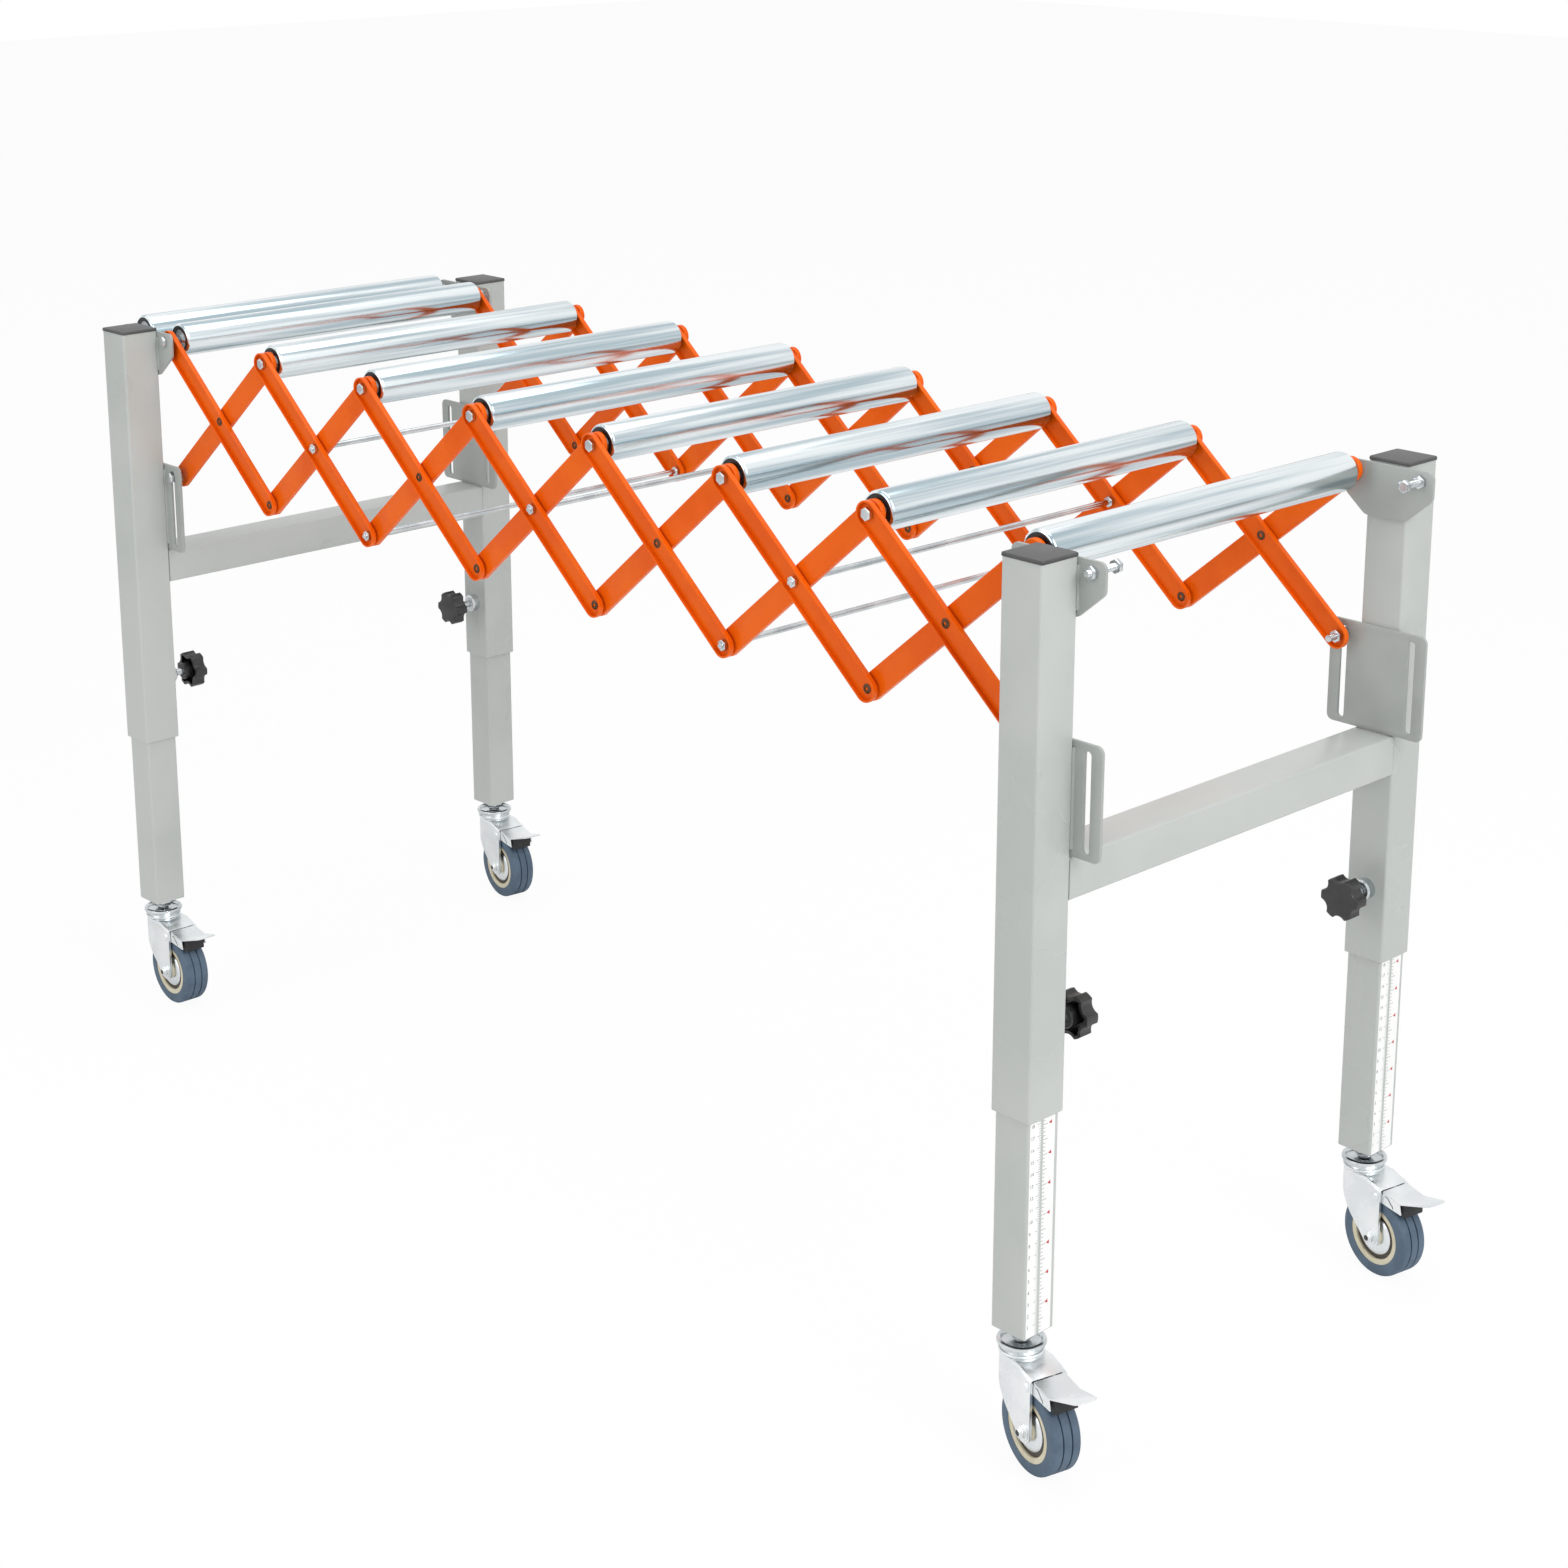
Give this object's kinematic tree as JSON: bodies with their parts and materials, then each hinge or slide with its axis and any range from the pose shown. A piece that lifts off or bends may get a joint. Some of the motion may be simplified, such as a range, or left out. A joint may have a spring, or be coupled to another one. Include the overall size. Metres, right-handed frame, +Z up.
{
  "type": "extendable roller conveyor",
  "caption": "Extendable roller conveyor: rollers on a folding scissor lattice between two end frames with telescopic square legs, clamp knobs and braked swivel casters.",
  "frame": {"origin": "on the floor, in the middle of the box round the whole conveyor as drawn out in the picture", "axes": "+X along the conveyor towards the frame with the coupling bolts, +Y across it along the rollers, +Z up"},
  "size_m": [1.3918, 0.5068, 0.741],
  "materials": {
    "powder_coated_tube": "smooth light grey powder coat",
    "orange_enamel": "glossy orange stove enamel on pressed steel",
    "galvanised_roller": "bright galvanised steel tube with black bearing seats",
    "bright_fasteners": "bright zinc-plated bolts, nuts and axles",
    "cap_plastic": "dark grey moulded plastic",
    "knob_plastic": "black moulded plastic on a zinc-plated stud",
    "caster_steel": "bright zinc-plated pressed steel",
    "wheel_rubber": "blue-grey moulded rubber tyre on a plastic core"
  },
  "bodies": {
    "left_frame": {"left_frame_tubes": "powder_coated_tube", "left_frame_plates": "powder_coated_tube", "left_post_caps": "cap_plastic", "left_knob_bosses": "bright_fasteners", "left_roller_axles": "bright_fasteners"},
    "right_frame": {"right_frame_tubes": "powder_coated_tube", "right_frame_plates": "powder_coated_tube", "right_post_caps": "cap_plastic", "right_knob_bosses": "bright_fasteners", "right_roller_axle": "bright_fasteners", "right_coupling_bolts": "bright_fasteners"},
    "falling_pair_1": {"falling_arms_1": "orange_enamel"},
    "rising_pair_1": {"rising_arms_1": "orange_enamel"},
    "falling_pair_2": {"falling_arms_2": "orange_enamel", "roller_axle_3": "bright_fasteners"},
    "rising_pair_2": {"rising_arms_2": "orange_enamel"},
    "falling_pair_3": {"falling_arms_3": "orange_enamel", "roller_axle_4": "bright_fasteners"},
    "rising_pair_3": {"rising_arms_3": "orange_enamel"},
    "falling_pair_4": {"falling_arms_4": "orange_enamel", "roller_axle_5": "bright_fasteners"},
    "rising_pair_4": {"rising_arms_4": "orange_enamel"},
    "falling_pair_5": {"falling_arms_5": "orange_enamel", "roller_axle_6": "bright_fasteners"},
    "rising_pair_5": {"rising_arms_5": "orange_enamel"},
    "falling_pair_6": {"falling_arms_6": "orange_enamel", "roller_axle_7": "bright_fasteners"},
    "rising_pair_6": {"rising_arms_6": "orange_enamel"},
    "falling_pair_7": {"falling_arms_7": "orange_enamel", "roller_axle_8": "bright_fasteners"},
    "rising_pair_7": {"rising_arms_7": "orange_enamel"},
    "roller_1": {"roller_1": "galvanised_roller"},
    "roller_2": {"roller_2": "galvanised_roller"},
    "roller_3": {"roller_3": "galvanised_roller"},
    "roller_4": {"roller_4": "galvanised_roller"},
    "roller_5": {"roller_5": "galvanised_roller"},
    "roller_6": {"roller_6": "galvanised_roller"},
    "roller_7": {"roller_7": "galvanised_roller"},
    "roller_8": {"roller_8": "galvanised_roller"},
    "roller_9": {"roller_9": "galvanised_roller"},
    "leg_near_left": {"leg_near_left": "powder_coated_tube"},
    "caster_near_left": {"caster_fork_near_left": "caster_steel"},
    "wheel_near_left": {"caster_wheel_near_left": "wheel_rubber"},
    "pedal_near_left": {"brake_pedal_near_left": "caster_steel"},
    "knob_near_left": {"clamp_knob_near_left": "knob_plastic"},
    "leg_far_left": {"leg_far_left": "powder_coated_tube"},
    "caster_far_left": {"caster_fork_far_left": "caster_steel"},
    "wheel_far_left": {"caster_wheel_far_left": "wheel_rubber"},
    "pedal_far_left": {"brake_pedal_far_left": "caster_steel"},
    "knob_far_left": {"clamp_knob_far_left": "knob_plastic"},
    "leg_near_right": {"leg_near_right": "powder_coated_tube"},
    "caster_near_right": {"caster_fork_near_right": "caster_steel"},
    "wheel_near_right": {"caster_wheel_near_right": "wheel_rubber"},
    "pedal_near_right": {"brake_pedal_near_right": "caster_steel"},
    "knob_near_right": {"clamp_knob_near_right": "knob_plastic"},
    "leg_far_right": {"leg_far_right": "powder_coated_tube"},
    "caster_far_right": {"caster_fork_far_right": "caster_steel"},
    "wheel_far_right": {"caster_wheel_far_right": "wheel_rubber"},
    "pedal_far_right": {"brake_pedal_far_right": "caster_steel"},
    "knob_far_right": {"clamp_knob_far_right": "knob_plastic"}
  },
  "joints": [
    {"name": "fold", "type": "hinge", "parent": "left_frame", "child": "falling_pair_1", "pos_m": [-0.61092, 0.00529, 0.724], "axis": [0, 1, 0], "range_deg": [-1.2, 34.8]},
    {"name": "middle_pivot_1", "type": "hinge", "parent": "falling_pair_1", "child": "rising_pair_1", "pos_m": [-0.52642, 0.00529, 0.65202], "axis": [0, 1, 0], "range_deg": [-69.6, 2.4]},
    {"name": "top_pivot_2", "type": "hinge", "parent": "rising_pair_1", "child": "falling_pair_2", "pos_m": [-0.44192, 0.00529, 0.724], "axis": [0, 1, 0], "range_deg": [-2.4, 69.6]},
    {"name": "middle_pivot_2", "type": "hinge", "parent": "falling_pair_2", "child": "rising_pair_2", "pos_m": [-0.35742, 0.00529, 0.65202], "axis": [0, 1, 0], "range_deg": [-69.6, 2.4]},
    {"name": "top_pivot_3", "type": "hinge", "parent": "rising_pair_2", "child": "falling_pair_3", "pos_m": [-0.27292, 0.00529, 0.724], "axis": [0, 1, 0], "range_deg": [-2.4, 69.6]},
    {"name": "middle_pivot_3", "type": "hinge", "parent": "falling_pair_3", "child": "rising_pair_3", "pos_m": [-0.18842, 0.00529, 0.65202], "axis": [0, 1, 0], "range_deg": [-69.6, 2.4]},
    {"name": "top_pivot_4", "type": "hinge", "parent": "rising_pair_3", "child": "falling_pair_4", "pos_m": [-0.10392, 0.00529, 0.724], "axis": [0, 1, 0], "range_deg": [-2.4, 69.6]},
    {"name": "middle_pivot_4", "type": "hinge", "parent": "falling_pair_4", "child": "rising_pair_4", "pos_m": [-0.01942, 0.00529, 0.65202], "axis": [0, 1, 0], "range_deg": [-69.6, 2.4]},
    {"name": "top_pivot_5", "type": "hinge", "parent": "rising_pair_4", "child": "falling_pair_5", "pos_m": [0.06508, 0.00529, 0.724], "axis": [0, 1, 0], "range_deg": [-2.4, 69.6]},
    {"name": "middle_pivot_5", "type": "hinge", "parent": "falling_pair_5", "child": "rising_pair_5", "pos_m": [0.14958, 0.00529, 0.65202], "axis": [0, 1, 0], "range_deg": [-69.6, 2.4]},
    {"name": "top_pivot_6", "type": "hinge", "parent": "rising_pair_5", "child": "falling_pair_6", "pos_m": [0.23408, 0.00529, 0.724], "axis": [0, 1, 0], "range_deg": [-2.4, 69.6]},
    {"name": "middle_pivot_6", "type": "hinge", "parent": "falling_pair_6", "child": "rising_pair_6", "pos_m": [0.31858, 0.00529, 0.65202], "axis": [0, 1, 0], "range_deg": [-69.6, 2.4]},
    {"name": "top_pivot_7", "type": "hinge", "parent": "rising_pair_6", "child": "falling_pair_7", "pos_m": [0.40308, 0.00529, 0.724], "axis": [0, 1, 0], "range_deg": [-2.4, 69.6]},
    {"name": "middle_pivot_7", "type": "hinge", "parent": "falling_pair_7", "child": "rising_pair_7", "pos_m": [0.48758, 0.00529, 0.65202], "axis": [0, 1, 0], "range_deg": [-69.6, 2.4]},
    {"name": "top_pivot_8", "type": "hinge", "parent": "rising_pair_7", "child": "right_frame", "pos_m": [0.57208, 0.00529, 0.724], "axis": [0, 1, 0], "range_deg": [-1.2, 34.8]},
    {"name": "roller_1_spin", "type": "hinge", "parent": "left_frame", "child": "roller_1", "pos_m": [-0.67892, 0.00529, 0.724], "axis": [0, 1, 0], "continuous": true},
    {"name": "roller_2_spin", "type": "hinge", "parent": "left_frame", "child": "roller_2", "pos_m": [-0.61092, 0.00529, 0.724], "axis": [0, 1, 0], "continuous": true},
    {"name": "roller_3_spin", "type": "hinge", "parent": "falling_pair_2", "child": "roller_3", "pos_m": [-0.44192, 0.00529, 0.724], "axis": [0, 1, 0], "continuous": true},
    {"name": "roller_4_spin", "type": "hinge", "parent": "falling_pair_3", "child": "roller_4", "pos_m": [-0.27292, 0.00529, 0.724], "axis": [0, 1, 0], "continuous": true},
    {"name": "roller_5_spin", "type": "hinge", "parent": "falling_pair_4", "child": "roller_5", "pos_m": [-0.10392, 0.00529, 0.724], "axis": [0, 1, 0], "continuous": true},
    {"name": "roller_6_spin", "type": "hinge", "parent": "falling_pair_5", "child": "roller_6", "pos_m": [0.06508, 0.00529, 0.724], "axis": [0, 1, 0], "continuous": true},
    {"name": "roller_7_spin", "type": "hinge", "parent": "falling_pair_6", "child": "roller_7", "pos_m": [0.23408, 0.00529, 0.724], "axis": [0, 1, 0], "continuous": true},
    {"name": "roller_8_spin", "type": "hinge", "parent": "falling_pair_7", "child": "roller_8", "pos_m": [0.40308, 0.00529, 0.724], "axis": [0, 1, 0], "continuous": true},
    {"name": "roller_9_spin", "type": "hinge", "parent": "right_frame", "child": "roller_9", "pos_m": [0.57208, 0.00529, 0.724], "axis": [0, 1, 0], "continuous": true},
    {"name": "leg_slide_near_left", "type": "slide", "parent": "left_frame", "child": "leg_near_left", "axis": [0, 0, 1], "range_m": [-0.14, 0.17]},
    {"name": "swivel_near_left", "type": "hinge", "parent": "leg_near_left", "child": "caster_near_left", "pos_m": [-0.64492, -0.22221, 0.11], "axis": [0, 0, 1], "continuous": true},
    {"name": "wheel_spin_near_left", "type": "hinge", "parent": "caster_near_left", "child": "wheel_near_left", "pos_m": [-0.61592, -0.22272, 0.0375], "axis": [0.0175, 0.9998, 0], "continuous": true},
    {"name": "brake_tip_near_left", "type": "hinge", "parent": "caster_near_left", "child": "pedal_near_left", "pos_m": [-0.61292, -0.22277, 0.0775], "axis": [0.0175, 0.9998, 0], "range_deg": [0, 11.7]},
    {"name": "knob_turn_near_left", "type": "hinge", "parent": "left_frame", "child": "knob_near_left", "pos_m": [-0.64492, -0.19321, 0.358], "axis": [0, 1, 0], "continuous": true},
    {"name": "leg_slide_far_left", "type": "slide", "parent": "left_frame", "child": "leg_far_left", "axis": [0, 0, 1], "range_m": [-0.14, 0.17]},
    {"name": "swivel_far_left", "type": "hinge", "parent": "leg_far_left", "child": "caster_far_left", "pos_m": [-0.64492, 0.23279, 0.11], "axis": [0, 0, 1], "continuous": true},
    {"name": "wheel_spin_far_left", "type": "hinge", "parent": "caster_far_left", "child": "wheel_far_left", "pos_m": [-0.61613, 0.22925, 0.0375], "axis": [0.1219, 0.9925, 0], "continuous": true},
    {"name": "brake_tip_far_left", "type": "hinge", "parent": "caster_far_left", "child": "pedal_far_left", "pos_m": [-0.61315, 0.22889, 0.0775], "axis": [0.1219, 0.9925, 0], "range_deg": [0, 11.7]},
    {"name": "knob_turn_far_left", "type": "hinge", "parent": "left_frame", "child": "knob_far_left", "pos_m": [-0.64492, 0.20379, 0.358], "axis": [0, 1, 0], "continuous": true},
    {"name": "leg_slide_near_right", "type": "slide", "parent": "right_frame", "child": "leg_near_right", "axis": [0, 0, 1], "range_m": [-0.14, 0.17]},
    {"name": "swivel_near_right", "type": "hinge", "parent": "leg_near_right", "child": "caster_near_right", "pos_m": [0.60608, -0.22221, 0.11], "axis": [0, 0, 1], "continuous": true},
    {"name": "wheel_spin_near_right", "type": "hinge", "parent": "caster_near_right", "child": "wheel_near_right", "pos_m": [0.63422, -0.22923, 0.0375], "axis": [0.2419, 0.9703, 0], "continuous": true},
    {"name": "brake_tip_near_right", "type": "hinge", "parent": "caster_near_right", "child": "pedal_near_right", "pos_m": [0.63713, -0.22996, 0.0775], "axis": [0.2419, 0.9703, 0], "range_deg": [0, 11.7]},
    {"name": "knob_turn_near_right", "type": "hinge", "parent": "right_frame", "child": "knob_near_right", "pos_m": [0.60608, -0.19321, 0.358], "axis": [0, 1, 0], "continuous": true},
    {"name": "leg_slide_far_right", "type": "slide", "parent": "right_frame", "child": "leg_far_right", "axis": [0, 0, 1], "range_m": [-0.14, 0.17]},
    {"name": "swivel_far_right", "type": "hinge", "parent": "leg_far_right", "child": "caster_far_right", "pos_m": [0.60608, 0.23279, 0.11], "axis": [0, 0, 1], "continuous": true},
    {"name": "wheel_spin_far_right", "type": "hinge", "parent": "caster_far_right", "child": "wheel_far_right", "pos_m": [0.63464, 0.22775, 0.0375], "axis": [0.1736, 0.9848, 0], "continuous": true},
    {"name": "brake_tip_far_right", "type": "hinge", "parent": "caster_far_right", "child": "pedal_far_right", "pos_m": [0.6376, 0.22723, 0.0775], "axis": [0.1736, 0.9848, 0], "range_deg": [0, 11.7]},
    {"name": "knob_turn_far_right", "type": "hinge", "parent": "right_frame", "child": "knob_far_right", "pos_m": [0.60608, 0.20379, 0.358], "axis": [0, 1, 0], "continuous": true}
  ],
  "couplings": [
    {"joint": "middle_pivot_1", "follows": "fold", "ratio": -2},
    {"joint": "top_pivot_2", "follows": "fold", "ratio": 2},
    {"joint": "middle_pivot_2", "follows": "fold", "ratio": -2},
    {"joint": "top_pivot_3", "follows": "fold", "ratio": 2},
    {"joint": "middle_pivot_3", "follows": "fold", "ratio": -2},
    {"joint": "top_pivot_4", "follows": "fold", "ratio": 2},
    {"joint": "middle_pivot_4", "follows": "fold", "ratio": -2},
    {"joint": "top_pivot_5", "follows": "fold", "ratio": 2},
    {"joint": "middle_pivot_5", "follows": "fold", "ratio": -2},
    {"joint": "top_pivot_6", "follows": "fold", "ratio": 2},
    {"joint": "middle_pivot_6", "follows": "fold", "ratio": -2},
    {"joint": "top_pivot_7", "follows": "fold", "ratio": 2},
    {"joint": "middle_pivot_7", "follows": "fold", "ratio": -2},
    {"joint": "top_pivot_8", "follows": "fold", "ratio": 1}
  ]
}
